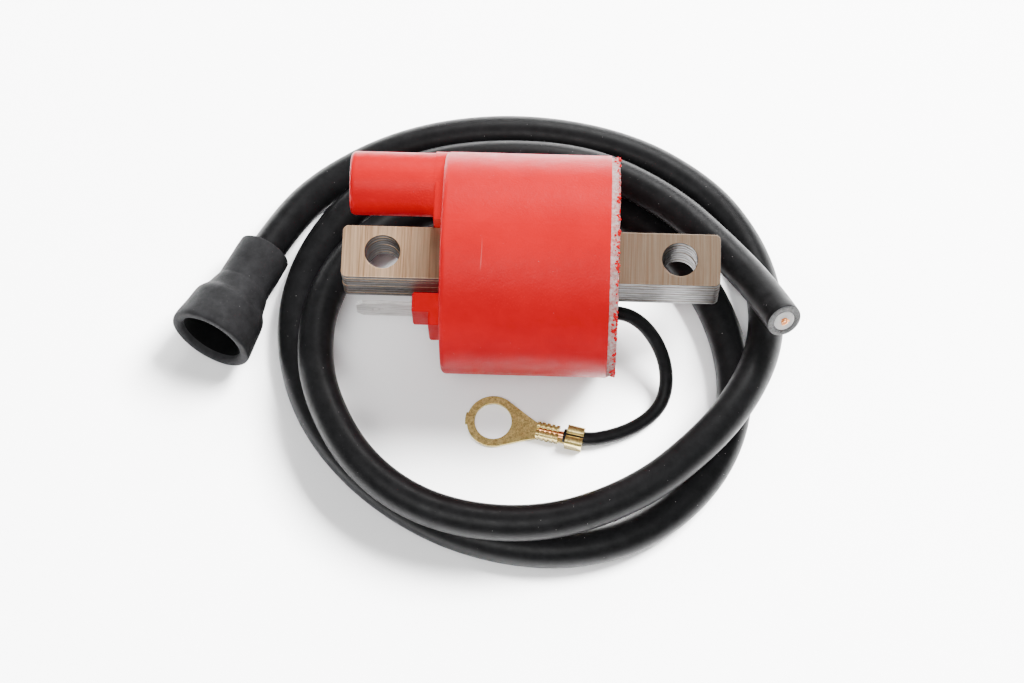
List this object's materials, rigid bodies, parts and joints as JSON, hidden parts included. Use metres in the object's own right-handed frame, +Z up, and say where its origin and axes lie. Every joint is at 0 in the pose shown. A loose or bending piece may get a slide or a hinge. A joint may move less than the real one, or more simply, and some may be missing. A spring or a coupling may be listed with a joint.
{
  "type": "ignition coil",
  "caption": "Small engine ignition coil on a steel core bar, with red housing, spade terminal, high tension lead with rubber boot, and ground wire with ring terminal.",
  "frame": {"origin": "on the ground, under the middle of the core bar", "axes": "+X right along the core bar, from the tower side to the ground wire side; +Y to the back, the tower side of the bar; +Z up, as the coil lies on its round housing"},
  "size_m": [0.1223, 0.0946, 0.0428],
  "materials": {
    "red_plastic": "satin moulded, lightly scratched",
    "core_steel": "brushed, bronze tinted on top",
    "bobbin_plastic": "moulded",
    "copper_wire": "bare or enamelled copper",
    "fine_copper_wire": "enamelled copper",
    "paper": "varnished paper",
    "potting": "rough cast epoxy",
    "brass": "stamped",
    "tin_plate": "tin plated",
    "wire_jacket": "satin",
    "lead_rubber": "satin",
    "lead_insulation": "natural",
    "boot_rubber": "dull"
  },
  "bodies": {
    "lead": {"ht_lead_jacket": "lead_rubber", "ht_lead_insulation": "lead_insulation", "ht_lead_conductor": "copper_wire"},
    "coil": {"housing": "red_plastic", "core_laminations": "core_steel", "primary_bobbin": "bobbin_plastic", "primary_winding": "copper_wire", "interlayer_insulation": "paper", "secondary_bobbin": "bobbin_plastic", "secondary_winding": "fine_copper_wire", "potting_compound": "potting", "tower_contact": "brass", "ht_link_wire": "fine_copper_wire", "spade_terminal": "tin_plate", "primary_link_wire": "copper_wire", "earth_link_wire": "copper_wire", "ground_wire_jacket": "wire_jacket", "ground_wire_core": "copper_wire", "ring_terminal": "brass"},
    "boot": {"boot": "boot_rubber"}
  },
  "joints": [
    {"name": "coil_lift", "type": "slide", "parent": "lead", "child": "coil", "axis": [0, 0, 1], "range_m": [0, 0.06]},
    {"name": "boot_slide", "type": "slide", "parent": "lead", "child": "boot", "axis": [-0.4113, -0.8975, 0.1589], "range_m": [0, 0.006]}
  ]
}
